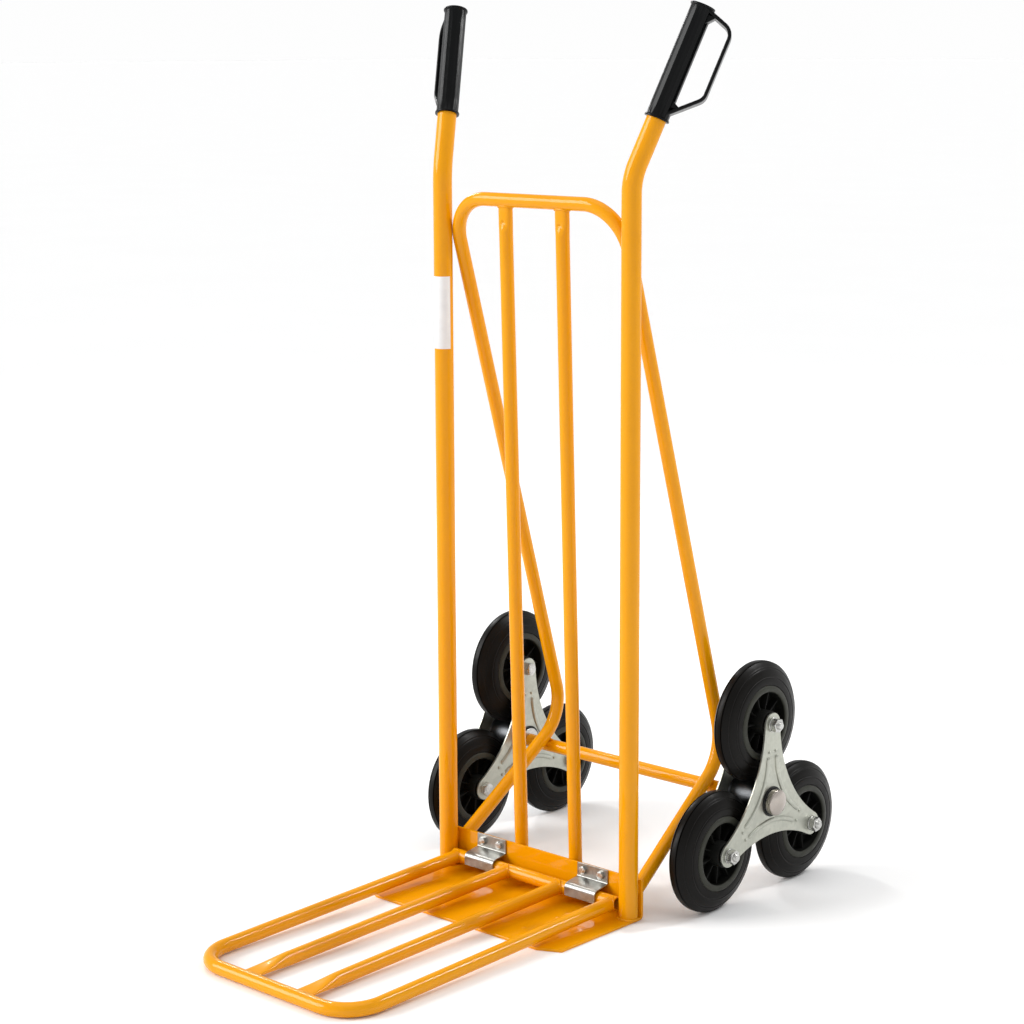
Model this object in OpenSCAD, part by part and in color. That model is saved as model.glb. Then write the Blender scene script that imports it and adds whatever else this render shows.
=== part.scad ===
// Stair-climbing hand truck: two uprights with guarded grips, a folding toe frame and two three-wheel stars.
// Millimetres. +Z is up, the toe points along -Y and the axle lies behind along +Y.
// The origin is on the ground, midway between the axes of the two uprights.

/* [Frame] */
// Distance between the axes of the two uprights
upright_spacing = 320; // [310:1:330]
// Outside diameter of the uprights
upright_d = 25; // [24:0.5:26]
// Outside diameter of the braces, bars, axle tube and toe frame
tube_d = 18; // [17:0.5:18.5]
// Wall of every tube
tube_wall = 1.5; // [1.2:0.1:1.6]
// Height at which the uprights bend into the handles
bend_height = 946; // [930:1:960]
// Outward lean of each handle
handle_splay = 12.9; // [8:0.1:15]
// Backward lean of each handle
handle_rake = 20.5; // [15:0.1:24]
// Height of the crossbar's axis
crossbar_height = 912; // [900:1:915]
// Distance of each centre bar from the middle plane
centre_bar_x = 48; // [44:1:52]

/* [Axle and stars] */
// Diameter of each wheel
wheel_d = 160; // [158:1:162]
// Width of each tyre at the rim
tyre_width = 36; // [34:1:37]
// Distance from the axle to each wheel's centre
star_arm = 104; // [102:0.5:106]
// Distance of the axle behind the uprights
axle_y = 191; // [189:0.5:193]
// Diameter of the axle rod
axle_d = 14.8; // [14.6:0.1:14.8]
// Distance of the inner star plate's middle from the middle plane
inner_plate_x = 187.3; // [186:0.1:189]
// Distance of the outer star plate's middle from the middle plane
outer_plate_x = 242.9; // [242:0.1:246]
// Thickness of the star plates
star_plate_t = 3; // [2.5:0.1:3]

/* [Toe] */
// Width of the toe plate
toe_plate_width = 344; // [336:1:350]
// Reach of the toe plate in front of the uprights' axes
toe_plate_reach = 157; // [140:1:165]
// Thickness of the toe plate
toe_plate_t = 3.5; // [3:0.1:4]
// Height of the plate's upturned rear edge
upstand_height = 53; // [51:1:56]
// Distance from the hinge axis to the front bar's axis
toe_frame_reach = 469; // [440:1:480]
// Distance of each side bar from the middle plane
side_bar_x = 137.7; // [135:0.1:138]
// Distance of each slat from the middle plane
slat_x = 46.4; // [44:0.1:48]

/* [Grips] */
// Distance along the handle from the bend to the grip
grip_start = 77; // [70:1:85]
// Length of each grip
grip_length = 147; // [140:1:150]
// Radius of the grip's body
grip_r = 14.5; // [14:0.1:15.5]
// Distance of the hand guard's strap from the handle's axis
guard_reach = 44.5; // [42:0.5:48]
// Width of the hand guard's strap
guard_width = 24; // [18:1:26]

/* [Hidden] */
$fn = 96;
SIDES = ["left", "right"];
PLACES = ["top", "front", "rear"];
FRAME_NODES = ["upright_left", "upright_right", "brace_hoop", "centre_bar_left", "centre_bar_right",
    "axle_tube", "axle_rod", "axle_inner_washers", "axle_outer_washers", "axle_caps", "toe_plate",
    "hinge_clip_left", "hinge_clip_right", "clip_bolts", "clip_nuts", "grip_left", "grip_right",
    "blank_label", "toe_hinge_tube", "toe_loop", "toe_slat_left", "toe_slat_right"];
STAR_PIECES = ["star_inner_plate", "star_outer_plate", "star_hub_tube", "axle_bushes", "wheel_bolts",
    "wheel_washers", "wheel_nuts", "wheel_spacers"];
WHEEL_PIECES = ["tyre", "rim", "wheel_bush"];

PAINT = "#f2a11d";
ZINC = "#c9ccca";
BLACK = "#1e1f20";

// Clearances: a weld or press joint that touches, a running fit's radius, and faces that pass each other
touch = 0.05;
running = 0.05;
side_gap = 0.3;
// Further than any piece reaches from the middle plane, for cuts that trim tube ends
beyond = 300;

// A bend is a trace thicker than the straight tube, and the straight tube runs a little way into it
bend_swell = 0.05;
bend_seat = 0.5;

upright_x = upright_spacing / 2;
upright_r = upright_d / 2;
tube_r = tube_d / 2;
upright_bend_r = 90;
handle_length = grip_start + grip_length - 5;

toe_face_y = upright_r + touch;
toe_back_y = toe_face_y + toe_plate_t;
toe_bend_r = 6;
corner_cut_x = 30;
corner_cut_y = 15;

// The hoop: a crossbar whose two ends turn down into the braces, in one sloping plane
crossbar_y = -1;
axle_z = (wheel_d + star_arm) / 2;
knee_y = axle_y + 26;
knee_z = axle_z + 41;
brace_x = upright_x - 16.4;
brace_foot = [upright_x - 4, toe_back_y - 5, 26];
hoop_corner_r = 60;
knee_r = 65;

// Centre bars lean back from the crossbar to the rear of the toe plate's upstand
centre_bar_foot_z = 14;
centre_bar_clear = 0.3;

// Folding toe frame, hung on a hinge tube that two saddle clips hold
hinge_y = -4;
hinge_z = 20;
front_bar_z = tube_r;
hinge_tube_half = upright_x - upright_r - 2.5;
front_corner_r = 50;
clip_x = 90;
clip_width = 52;
clip_t = 2;
clip_gap = 0.5;
clip_heel_z = hinge_z + tube_r + 6.5;
clip_nose_z = hinge_z + tube_r + 2.5;
clip_skirt_z = hinge_z - 5;
clip_heel_r = 2;
clip_nose_r = 7;
clip_bolt_spread = 15;
clip_bolt_z = 45;
clip_bolt_r = 3;
bolt_hole_gap = 0.2;
clip_head_af = 10;
clip_head_h = 4;
clip_nut_h = 5;

// Star: two plates with rounded tips, joined by a hub tube and by the wheel bolts
star_tip_r = 15.5;
star_waist = 45;
star_tip_spread = star_arm * sin(60);
star_tip_depth = star_arm * cos(60);
// radius and centre distance of the concave side that meets two tips and passes the waist
star_side_r = (pow(star_tip_depth - star_waist, 2) + pow(star_tip_spread, 2) - pow(star_tip_r, 2))
    / (2 * (star_tip_r + star_tip_depth - star_waist));
star_side_centre = star_side_r + star_waist;
rib_r = 4;
rib_height = 1.4;
// each rib is an arc that passes the axle at its waist and ends beside two arms
rib_waist = 26;
rib_arc_r = 103.5;
rib_sweep = 54.8;
hub_tube_r = 22.5;
hub_tube_wall = 2.5;
bush_neck_r = 13;
bush_neck_length = 14;
bush_flange_r = 20;
bush_flange_t = 1.7;
wheel_x = (inner_plate_x + outer_plate_x) / 2;
plate_gap = outer_plate_x - inner_plate_x - star_plate_t;
star_inner_face = inner_plate_x - star_plate_t / 2;
star_outer_face = outer_plate_x + star_plate_t / 2;

// Axle hardware, counted outwards from the middle plane
axle_r = axle_d / 2;
inner_washer_t = 1.5;
outer_washer_t = 1.5;
washer_r = 17;
bush_inner_end = star_inner_face - touch - bush_flange_t;
bush_outer_end = star_outer_face + touch + bush_flange_t;
axle_tube_half = bush_inner_end - side_gap - inner_washer_t;
cap_start = bush_outer_end + side_gap + outer_washer_t;
cap_r = 17.5;
cap_height = 10;
cap_wall = 1.5;
cap_dome_r = (cap_r * cap_r + cap_height * cap_height) / (2 * cap_height);
axle_end = cap_start + 4;

// Wheel bolts
bolt_r = 5;
bolt_af = 17;
bolt_head_h = 6.4;
nut_h = 8;
wheel_washer_t = 2;
wheel_washer_r = 10;
bolt_tail = 4;
spacer_r = 8;
bush_r = 11;
bush_length = plate_gap - 2.2;

// Wheel section
rim_seat_r = 49.5;
rim_ring_r = 40.5;
rim_ring_half = 19.5;
rim_web_half = 3;
rim_hub_r = 17;
rim_hub_half = bush_length / 2 - 1;
rim_rib_half = 12;
rim_rib_t = 3;
rim_ribs = 10;
tread_crown_r = 22;
tyre_side_r = 42;

// Grips
grip_bore_r = upright_r + touch;
collar_r = 15.9;
collar_h = 3;
guard_t = 4.5;
guard_corner_r = 15;
guard_azimuth = 37;
guard_root = 10;
guard_foot = 6;
guard_low_corner = 42;
guard_high_corner = grip_length - 17;
grip_end_t = 4;

// Blank label wrapped round the front of the left upright
label_z = 714;
label_height = 95;
label_t = 0.25;
label_sweep = 172;

function unit(v) = v / norm(v);
function turn(p, i) = acos(unit(p[i] - p[i - 1]) * unit(p[i + 1] - p[i]));
function setback(p, r, i) = (i == 0 || i == len(p) - 1) ? 0 : r[i] * tan(turn(p, i) / 2);
function sign_of(side) = side == "left" ? -1 : 1;
function wheel_angle(place) = place == "top" ? 0 : place == "front" ? -120 : 120;
// where an arm's tip circle meets the concave side that lies the given way round from the arm
function tip_tangent(arm, way) =
    let (bisector = arm + way * 60,
        centre = star_side_centre * [cos(bisector), sin(bisector)],
        tip = star_arm * [cos(arm), sin(arm)])
    tip + star_tip_r * unit(centre - tip);

// Places children in the frame whose axes are x, y and z at the origin o
module place(x, y, z, o) {
    multmatrix([
        [x[0], y[0], z[0], o[0]],
        [x[1], y[1], z[1], o[1]],
        [x[2], y[2], z[2], o[2]],
        [0, 0, 0, 1]]) children();
}

// Lays something drawn along +Z down along +X, so that its +X points up
module along_x() {
    rotate([0, 90, 0]) mirror([1, 0, 0]) children();
}

// The right-hand side as drawn, the left-hand side mirrored
module on_side(side) {
    mirror([side == "left" ? 1 : 0, 0, 0]) children();
}

module both_sides() {
    for (side = SIDES) on_side(side) children();
}

module ring_section(r, wall) {
    difference() {
        circle(r = r);
        circle(r = r - wall);
    }
}

// A round tube along the points p, bent at each inner point to the radius given in r
module bent_tube(p, r, tube_r) {
    for (i = [0 : len(p) - 2]) {
        dir = unit(p[i + 1] - p[i]);
        side = unit(cross(dir, abs(dir[2]) < 0.9 ? [0, 0, 1] : [1, 0, 0]));
        start = setback(p, r, i) - (i == 0 ? 0 : bend_seat);
        stop = setback(p, r, i + 1) - (i == len(p) - 2 ? 0 : bend_seat);
        place(side, cross(dir, side), dir, p[i] + dir * start)
            linear_extrude(norm(p[i + 1] - p[i]) - start - stop) ring_section(tube_r, tube_wall);
    }
    for (i = [1 : 1 : len(p) - 2]) {
        before = unit(p[i] - p[i - 1]);
        after = unit(p[i + 1] - p[i]);
        axis = unit(cross(before, after));
        centre = p[i] - unit(before - after) * r[i] / cos(turn(p, i) / 2);
        from = unit(p[i] - before * setback(p, r, i) - centre);
        place(from, cross(axis, from), axis, centre)
            rotate_extrude(angle = turn(p, i)) translate([r[i], 0])
                ring_section(tube_r + bend_swell, tube_wall + 2 * bend_swell);
    }
}

// A hexagon head or nut, across flats af, with its two faces on z = 0 and z = h
module hexagon(af, h) {
    cylinder(h = h, r = af / sqrt(3), $fn = 6);
}

// ---------- frame ----------

handle_dir = unit([tan(handle_splay), tan(handle_rake), 1]);

module upright(side) {
    bend = [upright_x, 0, bend_height];
    color(PAINT) on_side(side)
        bent_tube([[upright_x, 0, toe_plate_t + touch], bend, bend + handle_length * handle_dir],
            [0, upright_bend_r, 0], upright_r);
}

module brace_hoop() {
    foot_slope = unit(brace_foot - [brace_x, knee_y, knee_z]);
    foot = brace_foot + 12 * foot_slope;
    right = [foot, [brace_x, knee_y, knee_z], [brace_x, crossbar_y, crossbar_height]];
    left = [for (i = [2 : -1 : 0]) [-right[i][0], right[i][1], right[i][2]]];
    color(PAINT) difference() {
        bent_tube(concat(right, left), [0, knee_r, hoop_corner_r, hoop_corner_r, knee_r, 0], tube_r);
        // each foot ends on the back of the toe plate's upstand
        translate([-beyond, toe_back_y + touch - beyond, 0]) cube([2 * beyond, beyond, knee_z]);
    }
}

// the centre bar's axis passes this point behind the top of the upstand
centre_bar_heel = [centre_bar_x, toe_back_y + tube_r + centre_bar_clear, upstand_height];

module centre_bar(side) {
    top = [centre_bar_x, crossbar_y, crossbar_height];
    slope = (centre_bar_heel - top) / (top[2] - upstand_height);
    foot = top + slope * (crossbar_height - centre_bar_foot_z);
    color(PAINT) on_side(side) difference() {
        bent_tube([foot, top], [0, 0], tube_r);
        translate([0, crossbar_y, crossbar_height]) {
            along_x() cylinder(h = beyond, r = tube_r + touch);
            translate([0, -tube_d, 0]) cube([beyond, 2 * tube_d, tube_d]);
        }
    }
}

module axle_tube() {
    color(PAINT) translate([-axle_tube_half, axle_y, axle_z])
        along_x() linear_extrude(2 * axle_tube_half) ring_section(tube_r, tube_wall);
}

module axle_rod() {
    color(ZINC) translate([-axle_end, axle_y, axle_z])
        along_x() cylinder(h = 2 * axle_end, r = axle_r);
}

// One washer on the axle at x, on both sides of the frame
module axle_washers(x, t) {
    color(ZINC) both_sides() translate([x, axle_y, axle_z])
        along_x() linear_extrude(t) difference() {
            circle(r = washer_r);
            circle(r = axle_r + touch);
        }
}

module axle_caps() {
    color("#d8dadb") both_sides() translate([cap_start, axle_y, axle_z]) along_x() rotate_extrude() {
        intersection() {
            translate([0, cap_height - cap_dome_r]) ring_section(cap_dome_r, cap_wall);
            square([cap_r, cap_height]);
        }
        translate([axle_r + touch, 0]) square([cap_r - cap_wall - axle_r, cap_wall]);
    }
}

module toe_plate() {
    half = toe_plate_width / 2;
    color(PAINT) difference() {
        // L section in the Y-Z plane, carried across the width
        translate([-half, 0, 0]) rotate([90, 0, 90]) linear_extrude(toe_plate_width) {
            translate([-toe_plate_reach, 0]) square([toe_plate_reach + toe_back_y - toe_bend_r, toe_plate_t]);
            translate([toe_face_y, toe_bend_r]) square([toe_plate_t, upstand_height - toe_bend_r]);
            intersection() {
                translate([toe_back_y - toe_bend_r, toe_bend_r]) ring_section(toe_bend_r, toe_plate_t);
                translate([toe_back_y - toe_bend_r, 0]) square(toe_bend_r);
            }
        }
        both_sides() translate([0, 0, -1]) linear_extrude(toe_plate_t + 2) polygon([
            [half - corner_cut_x, -toe_plate_reach],
            [half - corner_cut_x, -toe_plate_reach - 5],
            [half + 5, -toe_plate_reach - 5],
            [half + 5, -toe_plate_reach + corner_cut_y],
            [half, -toe_plate_reach + corner_cut_y]]);
        clip_bolt_holes();
    }
}

// Each clip bolt's place: +Z points out of the upstand's front face towards the toe
module clip_bolt_places() {
    for (x = [-clip_x, clip_x]) for (spread = [-clip_bolt_spread, clip_bolt_spread])
        translate([x + spread, toe_face_y, clip_bolt_z]) rotate([90, 0, 0]) children();
}

module clip_bolt_holes() {
    depth = 2 * (toe_plate_t + clip_t);
    clip_bolt_places() cylinder(h = 2 * depth, r = clip_bolt_r + bolt_hole_gap, center = true);
}

// Section of everything under a clip: the upstand, the hinge tube and the strip itself
module under_clip() {
    beyond = 30;
    flange_front = toe_face_y - touch - clip_t;
    skirt_front = hinge_y - tube_r - clip_gap - clip_t;
    offset(r = -clip_heel_r, $fn = 48) offset(delta = clip_heel_r)
        offset(r = clip_nose_r, $fn = 48) offset(delta = -clip_nose_r)
            polygon([
                [flange_front + beyond, upstand_height + beyond],
                [flange_front, upstand_height + beyond],
                [flange_front, clip_heel_z],
                [skirt_front, clip_nose_z],
                [skirt_front, clip_skirt_z - beyond],
                [flange_front + beyond, clip_skirt_z - beyond]]);
}

// A folded strip: a flange on the upstand, a shelf over the hinge tube, a round nose and a skirt
module hinge_clip(side) {
    flange_y = toe_face_y - touch;
    reach = 60;
    color(ZINC) difference() {
        translate([sign_of(side) * clip_x - clip_width / 2, 0, 0]) rotate([90, 0, 90])
            linear_extrude(clip_width) intersection() {
                difference() {
                    under_clip();
                    offset(r = -clip_t, $fn = 48) under_clip();
                }
                translate([flange_y - reach, clip_skirt_z])
                    square([reach, upstand_height + 1 - clip_skirt_z]);
            }
        clip_bolt_holes();
    }
}

module clip_bolts() {
    tail = toe_plate_t + clip_nut_h + 2;
    color(ZINC) clip_bolt_places() {
        translate([0, 0, touch + clip_t + touch]) hexagon(clip_head_af, clip_head_h);
        translate([0, 0, -tail]) cylinder(h = tail + clip_t + 2 * touch, r = clip_bolt_r);
    }
}

module clip_nuts() {
    color(ZINC) clip_bolt_places() translate([0, 0, -toe_plate_t - touch - clip_nut_h]) difference() {
        hexagon(clip_head_af, clip_nut_h);
        translate([0, 0, -1]) cylinder(h = clip_nut_h + 2, r = clip_bolt_r + touch);
    }
}

module blank_label() {
    color("white") translate([-upright_x, 0, label_z]) rotate([0, 0, -90 - label_sweep / 2])
        rotate_extrude(angle = label_sweep) translate([upright_r + touch, 0]) square([label_t, label_height]);
}

// ---------- grips ----------

// Outline of the guard's strap grown by g about its middle line; +X runs along the grip, +Y away from it
module guard_outline(g) {
    offset(r = guard_corner_r + g, $fn = 48) offset(delta = -guard_corner_r) polygon([
        [guard_foot, guard_root],
        [guard_low_corner, guard_reach],
        [guard_high_corner, guard_reach],
        [grip_length - collar_h, guard_root],
        [grip_length - collar_h, -guard_corner_r],
        [guard_foot, -guard_corner_r]]);
}

module grip(side) {
    level = [cos(guard_azimuth), sin(guard_azimuth), 0];
    out = unit(level - (level * handle_dir) * handle_dir);
    base = [upright_x, 0, bend_height] + grip_start * handle_dir;
    color(BLACK) on_side(side) place(out, cross(handle_dir, out), handle_dir, base) difference() {
        union() {
            cylinder(h = grip_length, r = grip_r);
            cylinder(h = collar_h, r = collar_r);
            translate([0, 0, grip_length - collar_h]) cylinder(h = collar_h, r = collar_r);
            // the strap lies in the plane of the handle's axis and the direction out
            intersection() {
                rotate([90, 0, 0]) mirror([1, 0, 0]) rotate([0, 0, 90])
                    translate([0, 0, -guard_width / 2]) linear_extrude(guard_width) difference() {
                        guard_outline(guard_t / 2);
                        guard_outline(-guard_t / 2);
                    }
                translate([grip_bore_r, -guard_width, 0]) cube([guard_reach, 2 * guard_width, grip_length]);
            }
        }
        translate([0, 0, -1]) cylinder(h = grip_length - grip_end_t + 1, r = grip_bore_r);
    }
}

// ---------- folding toe frame ----------

// rise of the toe frame's plane for each millimetre towards the hinge
toe_slope = (hinge_z - front_bar_z) / toe_frame_reach;

// a point on the toe frame's plane at a distance in front of the hinge axis
function toe_point(x, reach) = [x, hinge_y - reach, hinge_z - toe_slope * reach];

module hinge_tube_space() {
    translate([-beyond, hinge_y, hinge_z]) along_x() cylinder(h = 2 * beyond, r = tube_r + touch);
}

module toe_hinge_tube() {
    color(PAINT) translate([-hinge_tube_half, hinge_y, hinge_z])
        along_x() linear_extrude(2 * hinge_tube_half) ring_section(tube_r, tube_wall);
}

module toe_loop() {
    color(PAINT) difference() {
        bent_tube([toe_point(side_bar_x, 0), toe_point(side_bar_x, toe_frame_reach),
            toe_point(-side_bar_x, toe_frame_reach), toe_point(-side_bar_x, 0)],
            [0, front_corner_r, front_corner_r, 0], tube_r);
        hinge_tube_space();
    }
}

module toe_slat(side) {
    x = sign_of(side) * slat_x;
    front = toe_point(x, toe_frame_reach);
    color(PAINT) difference() {
        bent_tube([toe_point(x, 0), front], [0, 0], tube_r);
        hinge_tube_space();
        translate([-beyond, front[1], front[2]]) {
            along_x() cylinder(h = 2 * beyond, r = tube_r + touch);
            translate([0, -tube_d, -tube_d]) cube([2 * beyond, tube_d, 2 * tube_d]);
        }
    }
}

// ---------- stars ----------

// Places children at the axle on one side: +Z points outwards along the axle and +X points up
module at_axle(side) {
    on_side(side) translate([0, axle_y, axle_z]) along_x() children();
}

// Places children at each wheel's centre line
module at_wheels(side) {
    at_axle(side) for (p = PLACES) rotate([0, 0, wheel_angle(p)]) translate([star_arm, 0, 0]) children();
}

module star_outline() {
    difference() {
        polygon([for (arm = [0, 120, 240]) for (way = [-1, 1]) tip_tangent(arm, way)]);
        for (bisector = [60, 180, 300])
            rotate(bisector) translate([star_side_centre, 0]) circle(r = star_side_r);
    }
    for (arm = [0, 120, 240]) rotate(arm) translate([star_arm, 0]) circle(r = star_tip_r + touch);
}

// Raised half-round ribs beside each concave edge, standing on z = 0
module star_ribs() {
    for (bisector = [60, 180, 300]) rotate([0, 0, bisector]) translate([rib_waist + rib_arc_r, 0, 0])
        rotate([0, 0, 180 - rib_sweep / 2]) rotate_extrude(angle = rib_sweep)
            translate([rib_arc_r, 0]) intersection() {
                translate([0, rib_height - rib_r]) circle(r = rib_r);
                translate([-rib_r, -0.5]) square([2 * rib_r, rib_r]);
            }
}

// One star plate whose inside face is at z; the ribs stand on the face that way points to
module star_plate(side, z, way) {
    color(ZINC) at_axle(side) translate([0, 0, z]) difference() {
        union() {
            linear_extrude(star_plate_t) star_outline();
            translate([0, 0, way > 0 ? star_plate_t : 0]) mirror([0, 0, way > 0 ? 0 : 1]) star_ribs();
        }
        cylinder(h = 4 * star_plate_t, r = bush_neck_r + touch, center = true);
        for (p = PLACES) rotate([0, 0, wheel_angle(p)]) translate([star_arm, 0, 0])
            cylinder(h = 4 * star_plate_t, r = bolt_r + bolt_hole_gap, center = true);
    }
}

module star_hub_tube(side) {
    color("#55585a") at_axle(side) translate([0, 0, inner_plate_x + star_plate_t / 2 + touch])
        linear_extrude(plate_gap - 2 * touch) ring_section(hub_tube_r, hub_tube_wall);
}

module axle_bushes(side) {
    color(BLACK) at_axle(side) for (end = [0, 1])
        translate([0, 0, end == 0 ? bush_inner_end : bush_outer_end]) mirror([0, 0, end]) difference() {
            union() {
                cylinder(h = bush_flange_t, r = bush_flange_r);
                cylinder(h = bush_neck_length, r = bush_neck_r);
            }
            translate([0, 0, -1]) cylinder(h = bush_neck_length + 2, r = axle_r + running);
        }
}

module wheel_bolts(side) {
    shank = star_outer_face + wheel_washer_t + nut_h + bolt_tail - star_inner_face;
    color(ZINC) at_wheels(side) translate([0, 0, star_inner_face - touch]) {
        translate([0, 0, -bolt_head_h]) hexagon(bolt_af, bolt_head_h);
        cylinder(h = shank, r = bolt_r);
    }
}

module wheel_washers(side) {
    color(ZINC) at_wheels(side) translate([0, 0, star_outer_face + touch]) linear_extrude(wheel_washer_t)
        difference() {
            circle(r = wheel_washer_r);
            circle(r = bolt_r + bolt_hole_gap);
        }
}

module wheel_nuts(side) {
    color(ZINC) at_wheels(side) translate([0, 0, star_outer_face + wheel_washer_t + 2 * touch]) difference() {
        hexagon(bolt_af, nut_h);
        translate([0, 0, -1]) cylinder(h = nut_h + 2, r = bolt_r + touch);
    }
}

module wheel_spacers(side) {
    color(ZINC) at_wheels(side) translate([0, 0, inner_plate_x + star_plate_t / 2 + touch])
        linear_extrude(plate_gap - 2 * touch) difference() {
            circle(r = spacer_r);
            circle(r = bolt_r + bolt_hole_gap);
        }
}

// ---------- wheels ----------

// Places children at one wheel's centre, with +Z outwards along its own axis
module at_wheel(side, p) {
    at_axle(side) rotate([0, 0, wheel_angle(p)]) translate([star_arm, 0, wheel_x]) children();
}

// The tyre's section: two sides that swell from the rim and meet under a rounded tread
module tyre(side, p) {
    color(BLACK) at_wheel(side, p) rotate_extrude() intersection() {
        translate([wheel_d / 2 - tread_crown_r, 0]) circle(r = tread_crown_r);
        translate([rim_seat_r, tyre_width / 2 - tyre_side_r]) circle(r = tyre_side_r);
        translate([rim_seat_r, tyre_side_r - tyre_width / 2]) circle(r = tyre_side_r);
        translate([rim_seat_r, -tyre_width]) square([wheel_d / 2, 2 * tyre_width]);
    }
}

module rim(side, p) {
    hub_bore = bush_r + touch;
    seat = rim_seat_r - touch;
    color("#2d302c") at_wheel(side, p) {
        rotate_extrude() {
            translate([rim_ring_r, -rim_ring_half]) square([seat - rim_ring_r, 2 * rim_ring_half]);
            translate([rim_hub_r - 1, -rim_web_half]) square([rim_ring_r - rim_hub_r + 2, 2 * rim_web_half]);
            translate([hub_bore, -rim_hub_half]) square([rim_hub_r - hub_bore, 2 * rim_hub_half]);
        }
        for (i = [0 : rim_ribs - 1]) rotate([0, 0, i * 360 / rim_ribs])
            translate([rim_hub_r - 2, -rim_rib_t / 2, -rim_rib_half])
                cube([rim_ring_r - rim_hub_r + 4, rim_rib_t, 2 * rim_rib_half]);
    }
}

module wheel_bush(side, p) {
    color("#3b3d3e") at_wheel(side, p) translate([0, 0, -bush_length / 2]) linear_extrude(bush_length)
        difference() {
            circle(r = bush_r);
            circle(r = spacer_r + running);
        }
}

upright("left");  // upright_left
upright("right");  // upright_right
brace_hoop();
centre_bar("left");  // centre_bar_left
centre_bar("right");  // centre_bar_right
axle_tube();
axle_rod();
axle_washers(axle_tube_half, inner_washer_t);  // axle_inner_washers
axle_washers(cap_start - outer_washer_t, outer_washer_t);  // axle_outer_washers
axle_caps();
toe_plate();
hinge_clip("left");  // hinge_clip_left
hinge_clip("right");  // hinge_clip_right
clip_bolts();
clip_nuts();
grip("left");  // grip_left
grip("right");  // grip_right
blank_label();
toe_hinge_tube();
toe_loop();
toe_slat("left");  // toe_slat_left
toe_slat("right");  // toe_slat_right
for (side = SIDES) {
    inside_z = inner_plate_x - star_plate_t / 2;
    outside_z = outer_plate_x - star_plate_t / 2;
    star_plate(side, inside_z, -1);
    star_plate(side, outside_z, 1);
    star_hub_tube(side);
    axle_bushes(side);
    wheel_bolts(side);
    wheel_washers(side);
    wheel_nuts(side);
    wheel_spacers(side);
    for (p = PLACES) {
        tyre(side, p);
        rim(side, p);
        wheel_bush(side, p);
    }
}
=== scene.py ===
"""Looks of the stair-climbing hand truck. Lengths are in millimetres until a mesh is made, then in metres."""

from math import ceil, copysign, cos, degrees, exp, hypot, pi, radians, sin, sqrt, tan, tau

import bmesh
import bpy
from mathutils import Matrix, Vector, noise


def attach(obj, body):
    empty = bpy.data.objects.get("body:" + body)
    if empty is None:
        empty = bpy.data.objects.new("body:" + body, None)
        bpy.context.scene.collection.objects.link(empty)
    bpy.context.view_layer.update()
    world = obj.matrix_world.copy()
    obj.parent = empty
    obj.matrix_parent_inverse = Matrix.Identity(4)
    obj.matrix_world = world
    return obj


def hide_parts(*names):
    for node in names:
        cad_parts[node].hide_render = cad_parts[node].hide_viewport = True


MM = 0.001
SIDES = {"left": -1, "right": 1}
PLACES = {"top": 0, "front": -120, "rear": 120}
X, Y, Z = Vector((1, 0, 0)), Vector((0, 1, 0)), Vector((0, 0, 1))

# frame
UPRIGHT_X, UPRIGHT_R, TUBE_R, WALL = 160.0, 12.5, 9.0, 1.5
BEND_Z, UPRIGHT_BEND_R, HANDLE_LENGTH = 946.0, 90.0, 219.0
HANDLE_SPLAY, HANDLE_RAKE = 12.9, 20.5
HANDLE_DIR = Vector((
    tan(radians(HANDLE_SPLAY)),
    tan(radians(HANDLE_RAKE)),
    1)).normalized()
CROSSBAR_Y, CROSSBAR_Z, HOOP_CORNER_R = -1.0, 912.0, 60.0
BRACE_X, KNEE_Y, KNEE_Z, KNEE_R = 143.6, 217.0, 173.0, 65.0
BRACE_FOOT = Vector((156, 11.05, 26))
CENTRE_BAR_X, CENTRE_BAR_HEEL_Y, CENTRE_BAR_FOOT_Z = 48.0, 25.35, 14.0
AXLE_Y, AXLE_Z = 191.0, 132.0
AXLE_TUBE_HALF = 182.25

# toe
PLATE_HALF, PLATE_FRONT, PLATE_T = 172.0, -157.0, 3.5
PLATE_BEND_R = 6.0
UPSTAND_FACE, UPSTAND_BACK, UPSTAND_Z = 12.55, 16.05, 53.0
CORNER_CUT_X, CORNER_CUT_Y = 30.0, 15.0
WELD_MARKS = [(-92, -62), (-4, -64), (92, -60), (-70, -118), (6, -120), (84, -116)]
HINGE_Y, HINGE_Z, HINGE_HALF = -4.0, 20.0, 145.0
TOE_REACH, SIDE_BAR_X, SLAT_X, FRONT_CORNER_R, FRONT_BAR_Z = 469.0, 137.7, 46.4, 50.0, 9.0
CLIP_X, CLIP_WIDTH, CLIP_T = 90.0, 52.0, 2.0
CLIP_TOP_Z, CLIP_HEEL_Z, CLIP_NOSE_Z, CLIP_SKIRT_Z = 54.0, 34.5, 30.5, 15.0
CLIP_BACK_Y, CLIP_NOSE_Y = 12.5, -14.5
CLIP_BOLT_SPREAD, CLIP_BOLT_Z = 15.0, 45.0
CLIP_BOLT_R, CLIP_BOLT_AF = 3.0, 10.0

# grips
GRIP_START, GRIP_LENGTH, GRIP_R, COLLAR_R, COLLAR_H = 77.0, 147.0, 14.5, 15.9, 3.0
GUARD_AZIMUTH, GUARD_REACH, GUARD_WIDTH, GUARD_T = 37.0, 44.5, 24.0, 4.5

# stars and wheels
ARM, TIP_R, WAIST = 104.0, 15.5, 45.0
INNER_PLATE, OUTER_PLATE, STAR_T = 185.8, 241.4, 3.0
PLATES_GAP = OUTER_PLATE - INNER_PLATE - STAR_T
# an arm's tip reaches this many degrees to each side, seen from the axle
TIP_HALF_ANGLE = 8.43
WHEEL_X = 215.1
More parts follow.
